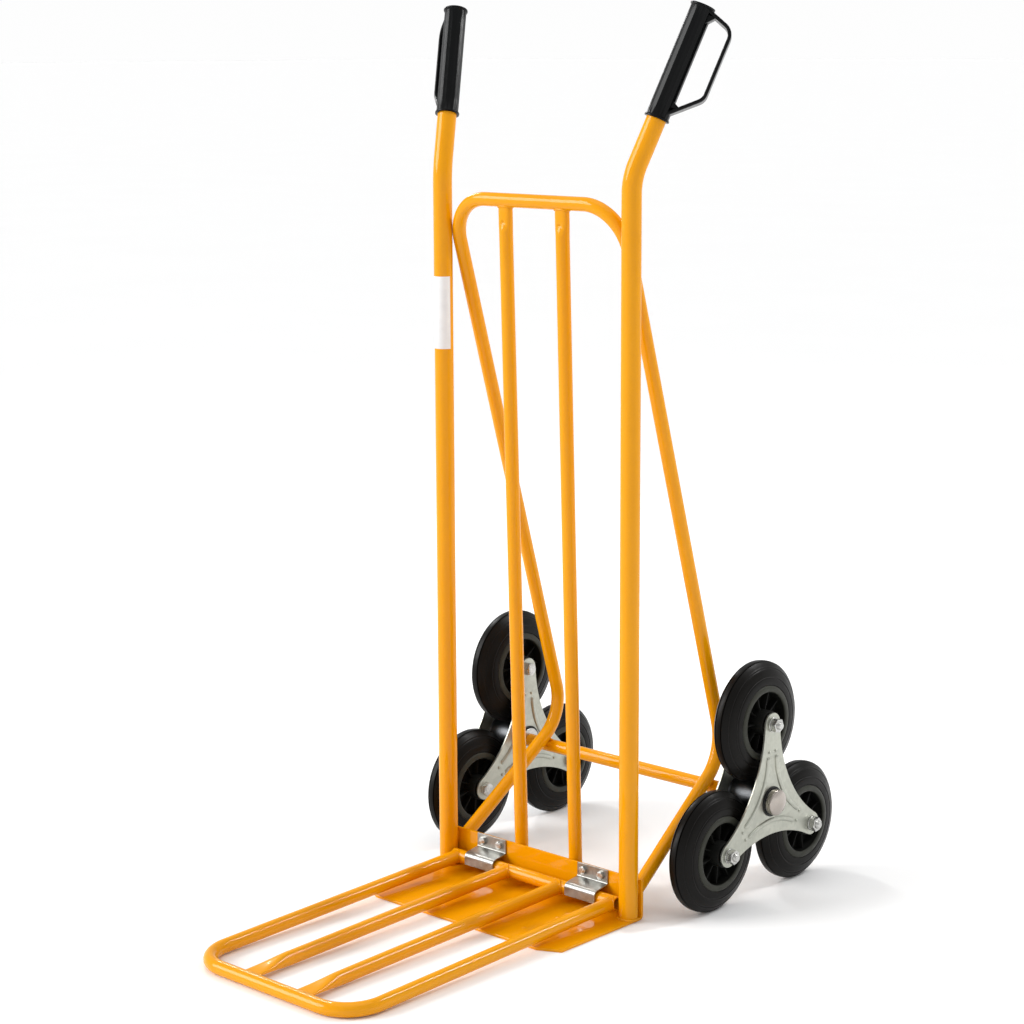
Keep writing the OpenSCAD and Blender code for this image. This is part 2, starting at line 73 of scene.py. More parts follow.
# outer end of the rims' ribs, where the rolled ring begins
RIB_END_R = 40.6
WHEEL_BOLT_R, WHEEL_BOLT_AF = 5.0, 17.0
BOLT_HOLE_R = 5.2
AXLE_HOLE_R, AXLE_WASHER_R, WASHER_T = 7.45, 17.0, 1.5
# distances from the truck's middle plane
WHEEL_WASHER_X, WHEEL_NUT_X, OUTER_WASHER_X = 244.45, 246.5, 246.45

# how far touching parts stand apart, and how far a welded end reaches into the tube it meets
GAP = 0.05
WELD_BITE = 0.3
# how far the middle of a bead on the hinge tube lies off its surface
HINGE_BEAD_OUT = 0.4


# ---------- shapes ----------

class Shape:
    """Points in millimetres and the faces between them. tags holds each face's material, 0 or 1."""

    def __init__(self):
        self.points = []
        self.faces = []
        self.tags = []

    def add(self, other, matrix=None):
        start = len(self.points)
        self.points += [matrix @ p if matrix else p.copy() for p in other.points]
        self.faces += [[start + i for i in face] for face in other.faces]
        self.tags += other.tags or [0] * len(other.faces)
        return self

    def at(self, matrix):
        return Shape().add(self, matrix)

    def tag(self, test):
        """Gives the second material to the faces whose middle passes the test."""
        for k, face in enumerate(self.faces):
            middle = sum((self.points[i] for i in face), Vector()) / len(face)
            self.tags[k] = 1 if test(middle) else 0
        return self


def loft(rings, round_trip=False, caps=True):
    """Faces between rings of equal length. With round_trip the last ring joins the first."""
    shape = Shape()
    n = len(rings[0])
    for ring in rings:
        shape.points += ring
    spans = len(rings) if round_trip else len(rings) - 1
    for k in range(spans):
        a, b = k * n, ((k + 1) % len(rings)) * n
        for i in range(n):
            j = (i + 1) % n
            shape.faces.append([a + i, a + j, b + j, b + i])
    if caps and not round_trip:
        shape.faces.append(list(range(n))[::-1])
        shape.faces.append([(len(rings) - 1) * n + i for i in range(n)])
    shape.tags = [0] * len(shape.faces)
    return shape


def angles(count):
    """The whole turn in equal steps, in radians."""
    return [tau * i / count for i in range(count)]


def circle(r, count):
    """Outline of a circle round the origin."""
    return [(r * cos(a), r * sin(a)) for a in angles(count)]


def ellipse(a, b, count, power=2.0):
    """A superellipse with half axes a and b. A higher power is squarer."""
    points = []
    for angle in angles(count):
        c, s = cos(angle), sin(angle)
        points.append((
            copysign(a * abs(c) ** (2 / power), c),
            copysign(b * abs(s) ** (2 / power), s)))
    return points


def rounded_box(half_w, half_h, r):
    """Outline of a rectangle with rounded corners. Points just beyond each corner hold the flats flat."""
    steps, hold = 3, 0.5
    hold_x, hold_y = min(hold, (half_w - r) * 0.9), min(hold, (half_h - r) * 0.9)
    points = []
    # c and s are the cosine and sine of the angle at which each corner's arc starts
    for start, c, s in ((0, 1, 0), (90, 0, 1), (180, -1, 0), (270, 0, -1)):
        cx, cy = (c - s) * (half_w - r), (c + s) * (half_h - r)
        turns = [radians(start + 90 * k / steps) for k in range(steps + 1)]
        arc = [(cx + r * cos(a), cy + r * sin(a)) for a in turns]
        points.append((arc[0][0] + s * hold_x, arc[0][1] - c * hold_y))
        points += arc
        points.append((arc[-1][0] - c * hold_x, arc[-1][1] - s * hold_y))
    return points


def bent_path(corners, radii, step=4.0):
    """Points along straight runs joined by arcs. step is the turn between points, in degrees."""
    corners = [Vector(c) for c in corners]
    path = [corners[0]]
    for i in range(1, len(corners) - 1):
        before = (corners[i] - corners[i - 1]).normalized()
        after = (corners[i + 1] - corners[i]).normalized()
        turn = before.angle(after)
        back = radii[i] * tan(turn / 2)
        axis = before.cross(after).normalized()
        centre = corners[i] + (after - before).normalized() * radii[i] / cos(turn / 2)
        arm = corners[i] - before * back - centre
        count = max(2, round(degrees(turn) / step))
        for k in range(count + 1):
            path.append(centre + Matrix.Rotation(turn * k / count, 3, axis) @ arm)
    path.append(corners[-1])
    return path


def split_long(path, longest):
    """The same path with extra points on its long straight runs."""
    fine = [path[0]]
    for a, b in zip(path, path[1:]):
        count = max(1, ceil((b - a).length / longest))
        fine += [a.lerp(b, k / count) for k in range(1, count + 1)]
    return fine


def frames(path, across):
    """At each point of the path: the distance so far, and two directions across it that don't twist."""
    rows = []
    far = 0.0
    u = None
    for i, p in enumerate(path):
        ahead = (path[min(i + 1, len(path) - 1)] - p).normalized() if i < len(path) - 1 else None
        behind = (p - path[i - 1]).normalized() if i else None
        tangent = ahead if behind is None else behind if ahead is None else (ahead + behind).normalized()
        u = across if u is None else u
        u = (u - tangent * u.dot(tangent)).normalized()
        if i:
            far += (p - path[i - 1]).length
        rows.append((far, tangent, u, tangent.cross(u)))
    return rows


def sweep(path, section, across=X, caps=True):
    """A section carried along a path, as a shape, or as bare rings with caps None.

    section is an outline, or a function of the distance from each end.
    """
    rows = frames(path, across)
    total = rows[-1][0]
    rings = []
    for p, (far, _, u, v) in zip(path, rows):
        outline = section(far, total - far) if callable(section) else section
        rings.append([p + u * a + v * b for a, b in outline])
    return rings if caps is None else loft(rings, caps=caps)


def tube(path, r, across=X, count=40):
    """A tube with its wall, open at both ends."""
    outer = sweep(path, circle(r, count), across, caps=None)
    inner = sweep(path, circle(r - WALL, count), across, caps=None)
    return loft(outer + inner[::-1], round_trip=True)


def polar(r, angle, z):
    """A point at a radius and an angle about +Z, in radians, and a height."""
    return Vector((r * cos(angle), r * sin(angle), z))


def lathe(profile, count=64):
    """A closed profile of (radius, height) points turned about +Z."""
    return loft([[polar(r, a, z) for a in angles(count)] for r, z in profile], round_trip=True)


def turned(profile, count=64, shaped=None):
    """A profile turned about +Z and closed by a flat face at each end.

    shaped may give each point its own radius from the profile's radius, its height and its angle.
    """
    rings = []
    for r, z in profile:
        rings.append([polar(shaped(r, z, a) if shaped else r, a, z) for a in angles(count)])
    return loft(rings)


def smoothstep(a, b, x):
    """Rises smoothly from 0 at a to 1 at b."""
    t = min(1.0, max(0.0, (x - a) / (b - a)))
    return t * t * (3 - 2 * t)


def lift(z):
    """A move along local +Z."""
    return Matrix.Translation((0, 0, z))


def spin(angle):
    """A turn about local +Z, in degrees."""
    return Matrix.Rotation(radians(angle), 4, "Z")


def basis(x, y, z, origin):
    """Matrix that carries local axes to x, y and z at origin."""
    m = Matrix((x, y, z)).transposed().to_4x4()
    m.translation = Vector(origin)
    return m


# ---------- welds, bolts and nuts ----------

def bead(curve, r, closed=True, centre=None):
    """A weld bead along a curve, with the ripples of its passes."""
    ripple, ripple_share, drift_share = 2.2, 0.10, 0.18
    rings = []
    far = 0.0
    n = len(curve)
    middle = centre or sum(curve, Vector()) / n
    for i, p in enumerate(curve):
        after = curve[(i + 1) % n] if closed or i < n - 1 else p
        before = curve[i - 1] if closed or i else p
        tangent = (after - before).normalized()
        out = p - middle
        out = (out - tangent * out.dot(tangent)).normalized()
        side = tangent.cross(out)
        far += (p - before).length if i else 0
        drift = drift_share * noise.noise(p * 0.11)
        size = r * (1 + ripple_share * sin(tau * far / ripple) + drift)
        if not closed:
            size *= 0.25 + 0.75 * sin(pi * (i + 0.5) / n) ** 0.5
        rings.append([p + out * a + side * b for a, b in circle(size, 10)])
    return loft(rings, round_trip=closed)


def line_bead(a, b, r, out):
    """A weld bead along a straight line, thin at its ends. out points away from the metal."""
    count = max(8, round((b - a).length / 0.6))
    curve = [a.lerp(b, k / count) for k in range(count + 1)]
    return bead(curve, r, closed=False, centre=(a + b) / 2 - out * 40)


def meet_tube(ring, direction, centre, axis, r):
    """Slides the points of a ring along direction until they lie on a tube of radius r."""
    moved = []
    d = direction - axis * direction.dot(axis)
    for p in ring:
        w = p - centre
        w = w - axis * w.dot(axis)
        b, c = w.dot(d), w.dot(w) - r * r
        root = max(0.0, b * b - d.dot(d) * c)
        moved.append(p + direction * (-b + sqrt(root)) / d.dot(d))
    return moved


def hex_radius(af, a):
    """Distance from the middle of a hexagon to its edge at an angle."""
    part = (a + pi / 6) % (pi / 3) - pi / 6
    return af / 2 / cos(part)


def hex_body(af, h, bore=0.0, chamfered=(True, True)):
    """A hexagon with its corners turned off by a cone at each chamfered end, bottom first."""
    count = 72
    flat = af / 2 * 0.97

    def ring(to_edge, top, chamfer):
        points = []
        for a in angles(count):
            edge = hex_radius(af, a)
            drop = max(0.0, (edge - flat) * 0.5) if to_edge and chamfer else 0.0
            points.append(polar(edge if to_edge else flat, a, h - drop if top else drop))
        return points

    rings = [ring(False, False, chamfered[0]), ring(True, False, chamfered[0]),
             ring(True, True, chamfered[1]), ring(False, True, chamfered[1])]
    if not bore:
        return loft(rings)
    lip = 0.5
    wall = ((bore + lip, h), (bore, h - lip), (bore, lip), (bore + lip, 0))
    return loft(rings + [[polar(r, a, z) for a in angles(count)] for r, z in wall], round_trip=True)


def thread(r, z0, z1):
    """A threaded stretch of a bolt with a chamfered end."""
    pitch, count = 1.5, 28
    depth = 0.55 * pitch
    steps = max(4, round((z1 - z0) / (pitch / 4)))
    rings = []
    for k in range(steps + 1):
        z = z0 + (z1 - z0) * k / steps
        ring = []
        for i in range(count):
            turn = (z / pitch + i / count) % 1
            size = r - depth * (1 - abs(2 * turn - 1))
            size = min(size, r - depth + max(0.0, (z1 - z) * 1.2))
            ring.append(polar(size, tau * i / count, z))
        rings.append(ring)
    return loft(rings)


def washer(r, bore, z0, t, count=64):
    """A flat washer with its edges broken."""
    c = min(0.35, t * 0.25)
    return lathe([(bore, z0 + c), (bore + c, z0), (r - c, z0), (r, z0 + c),
                  (r, z0 + t - c), (r - c, z0 + t), (bore + c, z0 + t), (bore, z0 + t - c)], count)


# ---------- materials ----------

def link(tree, a, b):
    tree.links.new(a, b)


def add_node(tree, kind, **values):
    """A node with its settings or, where it has no such setting, its sockets filled in."""
    node = tree.nodes.new(kind)
    for name, value in values.items():
        if hasattr(node, name):
            setattr(node, name, value)
        else:
            node.inputs[name.replace("_", " ")].default_value = value
    return node


def noise_at(tree, scale, detail=3.0, stretch=(1, 1, 1), roughness=0.55):
    """Noise in the piece's own coordinates. scale is in cells per metre."""
    coord = add_node(tree, "ShaderNodeTexCoord")
    mapping = add_node(tree, "ShaderNodeMapping", Scale=stretch)
    texture = add_node(tree, "ShaderNodeTexNoise", Scale=scale, Detail=detail, Roughness=roughness)
    link(tree, coord.outputs["Object"], mapping.inputs["Vector"])
    link(tree, mapping.outputs["Vector"], texture.inputs["Vector"])
    return texture.outputs["Fac"]


def cells_at(tree, scale):
    """A random tone for each crystal cell. scale is in cells per metre."""
    coord = add_node(tree, "ShaderNodeTexCoord")
    texture = add_node(tree, "ShaderNodeTexVoronoi", Scale=scale)
    link(tree, coord.outputs["Object"], texture.inputs["Vector"])
    return texture.outputs["Color"]


def ramp(tree, source, stops):
    """A colour or grey ramp. stops are (position, colour or grey)."""
    node = add_node(tree, "ShaderNodeValToRGB")
    elements = node.color_ramp.elements
    while len(elements) < len(stops):
        elements.new(0.5)
    for element, (position, value) in zip(elements, stops):
        element.position = position
        grey = not isinstance(value, (tuple, list))
        element.color = (value, value, value, 1) if grey else (*value, 1)
    link(tree, source, node.inputs["Fac"])
    return node.outputs["Color"]


def multiply(tree, a, b):
    """Multiplies two colours. The mix node's colour sockets are its inputs 6 and 7 and its output 2."""
    node = add_node(tree, "ShaderNodeMix", data_type="RGBA", blend_type="MULTIPLY", Factor=1.0)
    link(tree, a, node.inputs[6])
    link(tree, b, node.inputs[7])
    return node.outputs[2]


def bump(tree, source, distance, strength):
    """Relief from a grey output. distance is in metres."""
    node = add_node(tree, "ShaderNodeBump", Strength=strength, Distance=distance)
    link(tree, source, node.inputs["Height"])
    return node.outputs["Normal"]


def new_material(name, **sockets):
    """A material whose shader sockets, named with _ for a space, hold the given values."""
    material = bpy.data.materials.new(name)
    material.use_nodes = True
    tree = material.node_tree
    shader = tree.nodes["Principled BSDF"]
    for socket, value in sockets.items():
        shader.inputs[socket.replace("_", " ")].default_value = value
    return material, tree, shader


def wire(tree, shader, colour, roughness, normal):
    link(tree, colour, shader.inputs["Base Color"])
    link(tree, roughness, shader.inputs["Roughness"])
    link(tree, normal, shader.inputs["Normal"])


def powder_coat():
    """Glossy yellow-orange powder coat: faint orange peel and a slightly uneven colour."""
    material, tree, shader = new_material(
        "powder_coat", Coat_Weight=0.48, Coat_Roughness=0.04, Specular_IOR_Level=0.02)
    wide = noise_at(tree, 7, 3)
    colour = ramp(tree, wide, [(0.30, (0.765, 0.307, 0.0008)), (0.70, (0.803, 0.332, 0.0013))])
    fine = noise_at(tree, 420, 2)
    tone = ramp(tree, fine, [(0.35, 0.975), (0.65, 1.0)])
    rubs = ramp(tree, noise_at(tree, 24, 3), [(0.35, 0.17), (0.70, 0.23)])
    peel = bump(tree, noise_at(tree, 300, 2), 0.00010, 0.35)
    wire(tree, shader, multiply(tree, colour, tone), rubs, peel)
    return material


def zinc(name, light, dark, rough, spangle=150.0, streaks=(1, 1, 1)):
    """Zinc plate: faint crystal cells and clouds, fine rolling marks.

    spangle is the number of crystals per metre, and streaks stretches the rolling marks.
    """
    material, tree, shader = new_material(name, Metallic=0.88)
    cells = ramp(tree, cells_at(tree, spangle), [(0.2, dark), (0.8, light)])
    clouds = ramp(tree, noise_at(tree, 30, 4), [(0.32, 0.93), (0.68, 1.0)])
    lines = ramp(tree, noise_at(tree, 300, 3, streaks), [(0.35, 0.95), (0.65, 1.0)])
    colour = multiply(tree, multiply(tree, cells, clouds), lines)
    wear = ramp(tree, noise_at(tree, 70, 5, roughness=0.7), [(0.30, rough - 0.05), (0.72, rough + 0.07)])
    wire(tree, shader, colour, wear, bump(tree, noise_at(tree, 520, 3, streaks), 0.00007, 0.5))
    return material


def shade(colour, share, lift=0.0):
    return tuple(c * share + lift for c in colour)


def bright_metal(name, colour, rough, smear):
    """Polished or turned metal with faint handling marks, which add smear to its roughness."""
    material, tree, shader = new_material(name, Metallic=1.0)
    tones = ramp(tree, noise_at(tree, 120, 4), [(0.3, shade(colour, 0.93)), (0.7, colour)])
    marks = ramp(tree, noise_at(tree, 160, 5, roughness=0.7), [(0.35, rough), (0.75, rough + smear)])
    wire(tree, shader, tones, marks, bump(tree, noise_at(tree, 700, 2), 0.00004, 0.4))
    return material


def moulded(name, colour, rough, grain, speck=0.12, depth=0.00010, shine=0.2):
    """Moulded plastic or rubber. The grain is depth metres deep and scuffs vary the roughness by speck."""
    material, tree, shader = new_material(name, Specular_IOR_Level=shine)
    patches = noise_at(tree, 26, 5, roughness=0.65)
    stops = [(0.30, shade(colour, 0.88)), (0.60, colour), (0.85, shade(colour, 1.25, 0.001))]
    tones = ramp(tree, patches, stops)
    scuffs = noise_at(tree, 90, 5, roughness=0.7)
    wear = ramp(tree, scuffs, [(0.30, rough - speck / 2), (0.75, rough + speck)])
    wire(tree, shader, tones, wear, bump(tree, noise_at(tree, grain, 2), depth, 0.5))
    return material


def label_material():
    """Blank white film with a soft waviness."""
    material, tree, shader = new_material("label_film", Specular_IOR_Level=0.3)
    tones = ramp(tree, noise_at(tree, 60, 3), [(0.3, (0.76, 0.76, 0.76)), (0.7, (0.82, 0.82, 0.82))])
    gloss = ramp(tree, noise_at(tree, 140, 3), [(0.3, 0.38), (0.7, 0.52)])
    wire(tree, shader, tones, gloss, bump(tree, noise_at(tree, 110, 2), 0.0002, 0.3))
    return material


def make_materials():
    """The materials by the names that the pieces use for them."""
    return {
        "orange_paint": powder_coat(),
        "zinc_plate": zinc("zinc_plate", (0.495, 0.505, 0.44), (0.44, 0.45, 0.392), 0.36),
        "zinc_clip": zinc("zinc_clip", (0.36, 0.36, 0.338), (0.30, 0.302, 0.285), 0.34, 190, (0.2, 1.6, 1.6)),
        "zinc_fastener": zinc("zinc_fastener", (0.60, 0.60, 0.575), (0.52, 0.52, 0.50), 0.26, 400),
        "chrome_cap": bright_metal("chrome_cap", (0.41, 0.37, 0.335), 0.09, 0.06),
        "steel_rod": bright_metal("steel_rod", (0.52, 0.51, 0.50), 0.30, 0.15),
        "dark_tube": bright_metal("dark_tube", (0.070, 0.073, 0.077), 0.30, 0.12),
        "grip_plastic": moulded("grip_plastic", (0.0026, 0.0030, 0.0033), 0.22, 900, 0.08, shine=0.15),
        "bush_plastic": moulded("bush_plastic", (0.010, 0.010, 0.010), 0.40, 900),
        # the rim's web, ribs and hub are painted near-black as the shade in its deep recess; the ring keeps
        # the plastic's own olive-grey
        "rim_plastic": moulded("rim_plastic", (0.0050, 0.0052, 0.0042), 0.48, 1100, shine=0.12),
        "rim_ring": moulded("rim_ring", (0.028, 0.029, 0.021), 0.46, 1100, shine=0.25),
        "tyre_rubber": moulded("tyre_rubber", (0.0030, 0.0024, 0.0018), 0.34, 650, 0.12, 0.00014, 0.13),
        "label_film": label_material(),
    }


# ---------- pieces ----------

# edges that turn by more than this many degrees are drawn sharp
CREASE_ANGLE = 38.0


def new_object(name, data):
    thing = bpy.data.objects.new(name, data)
    bpy.context.scene.collection.objects.link(thing)
    return thing


class Builder:
    """Turns shapes into pieces that ride on their bodies and stand for the CAD's nodes."""

    def __init__(self, materials):
        self.materials = materials

    def piece(self, name, shape, body, material, stands_for, slot=None, second=None):
        """second is the material of the shape's tagged faces."""
        mesh = bpy.data.meshes.new(name)
        mesh.from_pydata([tuple(p * MM) for p in shape.points], [], shape.faces)
        outward = bmesh.new()
        outward.from_mesh(mesh)
        bmesh.ops.recalc_face_normals(outward, faces=outward.faces)
        outward.to_mesh(mesh)
        outward.free()
        mesh.materials.append(self.materials[material])
        if second:
            mesh.materials.append(self.materials[second])
            mesh.polygons.foreach_set("material_index", shape.tags)
        mesh.validate()
        mesh.shade_smooth()
        mesh.set_sharp_from_angle(angle=radians(CREASE_ANGLE))
        piece = new_object(name, mesh)
        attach(piece, body)
        slot or material
        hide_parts(*stands_for)

    def pieces(self, body, rows, end=""):
        """Rows hold a piece's name, shape, material and node. end is added to the names of both."""
        for name, shape, material, node in rows:
            self.piece(name + end, shape, body, material, [node + end])


def sided(shape, side):
    """Shapes are made for the right side and mirrored for the left."""
    return shape.at(Matrix.Scale(-1, 4, X)) if side == "left" else shape


def gather(one, matrices):
    """One shape repeated at each of the matrices."""
    shape = Shape()
    for m in matrices:
        shape.add(one, m)
    return shape


# ---------- frame ----------

def upright_shape():
    """A bent tube with its weld round the foot and two short ones on the toe plate's upstand."""
    bend = Vector((UPRIGHT_X, 0, BEND_Z))
    foot = Vector((UPRIGHT_X, 0, PLATE_T + GAP))
    path = bent_path([foot, bend, bend + HANDLE_DIR * HANDLE_LENGTH], [0, UPRIGHT_BEND_R, 0], 1.5)
    shape = tube(path, UPRIGHT_R, count=56)
    weld_z, stand_off = PLATE_T + 0.5, 0.6
    middle = Vector((UPRIGHT_X, 0, weld_z))
    front = [middle + polar(UPRIGHT_R + stand_off, radians(d), 0) for d in range(150, 391, 3)]
    shape.add(bead(front, 2.0, closed=False, centre=middle))
    for way in (-1, 1):
        x, y = UPRIGHT_X + way * 5.6, UPSTAND_FACE - stand_off
        shape.add(line_bead(Vector((x, y, 49)), Vector((x, y, 33)), 1.7, -Y))
    return shape


def hoop_shape():
    """One bent tube from foot to foot over the crossbar, with both feet cut to the back of the upstand."""
    plane = UPSTAND_BACK + GAP
    knee = Vector((BRACE_X, KNEE_Y, KNEE_Z))
    slope = (BRACE_FOOT - knee).normalized()
    foot = BRACE_FOOT + slope * ((plane - BRACE_FOOT.y) / slope.y)
    right = [foot, knee, Vector((BRACE_X, CROSSBAR_Y, CROSSBAR_Z))]
    left = [Vector((-p.x, p.y, p.z)) for p in right[::-1]]
    path = bent_path(right + left, [0, KNEE_R, HOOP_CORNER_R, HOOP_CORNER_R, KNEE_R, 0], 3.0)
    rings = sweep(path, circle(TUBE_R, 44), X, caps=None)
    inner = sweep(path, circle(TUBE_R - WALL, 44), X, caps=None)
    shape = Shape()
    for group in (rings, inner):
        for k, way in ((0, slope), (-1, Vector((-slope.x, slope.y, slope.z)))):
            group[k] = [p + way * ((plane - p.y) / way.y) for p in group[k]]
    shape.add(loft(rings + inner[::-1], round_trip=True))
    for k in (0, -1):
        shape.add(bead([p + Y * 0.5 for p in rings[k]], 1.9))
    for way in (-1, 1):
        # two beads where a brace leaves the upright, before and behind it
        for out, drop in ((-1, 0), (1, 3)):
            top = Vector((way * 150.2, 7.5 + out * 6.3, 879 - drop))
            bottom = Vector((way * 149.6, 11.0 + out * 6.3, 853 - drop))
            shape.add(line_bead(top, bottom, 2.6, Y * out))
        # two beads where the lower leg rests on the axle tube
        touch = Vector((way * BRACE_X, 185.7, 139.4))
        across = Vector((0, 0.581, -0.814)).cross(X)
        for out in (-1, 1):
            start = touch + across * out * 3.4
            shape.add(line_bead(start + X * 7, start - X * 7, 2.2, across * out))
    return shape


def centre_bar_shape():
    """A straight bar whose top end is pressed flatter, with a V crease where the press ended."""
    top = Vector((CENTRE_BAR_X, CROSSBAR_Y, CROSSBAR_Z))
    heel = Vector((CENTRE_BAR_X, CENTRE_BAR_HEEL_Y, UPSTAND_Z))
    slope = (heel - top) / (CROSSBAR_Z - UPSTAND_Z)
    foot = top + slope * (CROSSBAR_Z - CENTRE_BAR_FOOT_Z)
    length = (top - foot).length
    crease_at, crease_rise, crease_depth, crease_soft, crease_half = 27, 0.9, 2.1, 2.0, 7.5

    def section(_, left):
        press = 1 - smoothstep(24, 44, left)
        wide, deep = TUBE_R + 1.3 * press, TUBE_R - 3.0 * press
        outline = []
        for a, b in ellipse(wide, deep, 44, 2 + 0.6 * press):
            # the crease dips in a V on the front and back faces
            off = (left - crease_at - crease_rise * abs(a)) / crease_soft
            dip = crease_depth * exp(-off ** 2) * max(0.0, 1 - abs(a) / crease_half)
            outline.append((a, b - copysign(min(dip, abs(b)), b)))
        return outline

    steps = [0, 0.25, 0.5, 0.75] + [1 - k / length for k in range(50, 0, -1)] + [1]
    path = [foot.lerp(top, t) for t in steps]
    rings = sweep(path, section, X, caps=None)
    down = (foot - top).normalized()
    rings[-1] = meet_tube(rings[-1], down, top, X, TUBE_R - WELD_BITE)
    shape = loft(rings)
    rim = meet_tube(rings[-1], down, top, X, TUBE_R + WELD_BITE)
    shape.add(bead(rim, 1.5))
    for way in (-1, 1):
        x, y = CENTRE_BAR_X + way * 4.6, UPSTAND_BACK + 1.1
        shape.add(line_bead(Vector((x, y, 47)), Vector((x, y, 24)), 1.8, Y))
    return shape


def axle_tube_shape():
    ends = [Vector((way * AXLE_TUBE_HALF, AXLE_Y, AXLE_Z)) for way in (-1, 1)]
    return tube(ends, TUBE_R, Z, 44)


def toe_plate_shape():
    """A bent sheet with cut front corners, an upturned rear edge and a few weld marks."""
    mid = PLATE_T / 2
    back = UPSTAND_BACK - mid
    corners = [(0, PLATE_FRONT, mid), (0, back, mid), (0, back, UPSTAND_Z)]
    path = bent_path(corners, [0, PLATE_BEND_R - mid, 0], 7.5)
    start, bend, end = path[0], path[1], path[-1]
    corner = start + Y * CORNER_CUT_Y
    cut = [start, start + Y * 0.4, start + Y * 5, start + Y * 10, corner]
    path = cut + split_long([corner, bend], 30)[1:] + path[2:-1] + [end - Z * 0.5, end]

    def section(far, left):
        half = min(PLATE_HALF, PLATE_HALF - CORNER_CUT_X + far * CORNER_CUT_X / CORNER_CUT_Y)
        edge = 0.5 if far < 0.1 or left < 0.1 else 0.0
        return rounded_box(half, mid - edge, min(0.8, mid - edge - 0.05))

    mark = turned([(3.4, -0.4), (3.2, 0.05), (2.5, 0.45), (1.5, 0.72), (0.5, 0.82)], 20)
    marks = [Matrix.Translation((x, y, PLATE_T)) for x, y in WELD_MARKS]
    return sweep(path, section, X).add(gather(mark, marks))


def clip_shape(x):
    """A strip down the face of the upstand, out over the hinge tube and down in front of it."""
    mid = CLIP_T / 2
    back = CLIP_BACK_Y - mid
    corners = [(x, back, CLIP_TOP_Z), (x, back, CLIP_HEEL_Z), (x, CLIP_NOSE_Y, CLIP_NOSE_Z),
               (x, CLIP_NOSE_Y, CLIP_SKIRT_Z)]
    path = bent_path(corners, [0, 3.0, 6.0, 0], 6)
    path.insert(1, path[0] - Z * 0.4)
    path.insert(-1, path[-1] + Z * 0.4)

    def section(far, left):
        edge = 0.35 if far < 0.1 or left < 0.1 else 0.0
        return rounded_box(CLIP_WIDTH / 2 - edge, mid - edge, min(0.5, mid - edge - 0.05))

    return sweep(path, section, X)


def clip_bolt_matrices():
    """Local +Z points out of the upstand's face, along each bolt. Each is turned by a different angle."""
    for side in (-1, 1):
        for spread in (-1, 1):
            x = side * CLIP_X + spread * CLIP_BOLT_SPREAD
            yield basis(X, Z, -Y, (x, UPSTAND_FACE, CLIP_BOLT_Z)) @ spin(23 * spread + 11 * side)


def clip_bolts_shape():
    """Bolts with a low dome on the head."""
    bolt = hex_body(CLIP_BOLT_AF, 4.0, chamfered=(False, True)).at(lift(CLIP_T + 0.1))
    bolt.add(turned([(4.3, 5.9), (4.2, 6.15), (3.0, 6.4), (1.2, 6.5)], 36))
    bolt.add(turned([(CLIP_BOLT_R, 2.2), (CLIP_BOLT_R, -6)], 28))
    bolt.add(thread(CLIP_BOLT_R, -10.5, -6))
    return gather(bolt, clip_bolt_matrices())


def clip_nuts_shape():
    height = 5
    nut = hex_body(CLIP_BOLT_AF, height, bore=CLIP_BOLT_R + GAP)
    return gather(nut.at(lift(-PLATE_T - height - GAP)), clip_bolt_matrices())


# ---------- grips ----------

def grip_frame():
    """Local +Z runs up the handle from the grip's lower end and local +X points out through the guard."""
    level = polar(1, radians(GUARD_AZIMUTH), 0)
    out = (level - HANDLE_DIR * level.dot(HANDLE_DIR)).normalized()
    base = Vector((UPRIGHT_X, 0, BEND_Z)) + HANDLE_DIR * GRIP_START
    return basis(out, HANDLE_DIR.cross(out), HANDLE_DIR, base)


def grip_shape():
    """A fluted grip with a collar at each end and a strap that guards the hand."""
    flutes, flute_depth, flute_power = 16, 0.34, 2.2

    def fluted(r, z, a):
        if r > GRIP_R + 0.01 or r < UPRIGHT_R + 0.5 or not COLLAR_H < z < GRIP_LENGTH - COLLAR_H:
            return r
        part = (a % (tau / flutes)) / (tau / flutes) * 2 - 1
        return r - flute_depth * (1 - abs(part) ** flute_power)

    c, top = COLLAR_R, GRIP_LENGTH
    lower_collar = [(UPRIGHT_R + GAP, 0.3), (c - 0.9, 0), (c - 0.25, 0.35), (c, 1.1), (c, 2.0),
                    (c - 0.35, 2.8), (GRIP_R + 0.3, 3.1), (GRIP_R, 3.8)]
    upper_collar = [(GRIP_R, top - 3.8), (GRIP_R + 0.3, top - 3.1), (c - 0.35, top - 2.8), (c, top - 2.0),
                    (c, top - 1.1), (c - 0.3, top - 0.3), (c - 1.0, top)]
    end_face = [(c - 2.6, top - 0.2), (c - 3.4, top - 0.9), (c - 4.4, top - 1.0), (8, top - 0.5),
                (3, top - 0.1)]
    middle = [(GRIP_R, z) for z in (20, 60, 100, 130)]
    shape = turned(lower_collar + middle + upper_collar + end_face, 128, fluted)

    root, low_bend, high_bend = 8, 42, 130
    strap = [(root, 0, 8), (GUARD_REACH, 0, low_bend), (GUARD_REACH, 0, high_bend), (root, 0, 143)]
    path = split_long(bent_path(strap, [0, 15, 15, 0], 6), 12)

    def strap_section(far, left):
        wide = GUARD_WIDTH / 2 - 1.5 * smoothstep(26, 0, min(far, left))
        return rounded_box(wide, GUARD_T / 2, 1.6)

    shape.add(sweep(path, strap_section, Y))
    web_half = 9.0
    shape.add(web([(11, 18), (24, 20), (11, 27)], web_half))
    shape.add(web([(11, 137.5), (22, 139), (11, 126)], web_half))
    return shape.at(grip_frame())


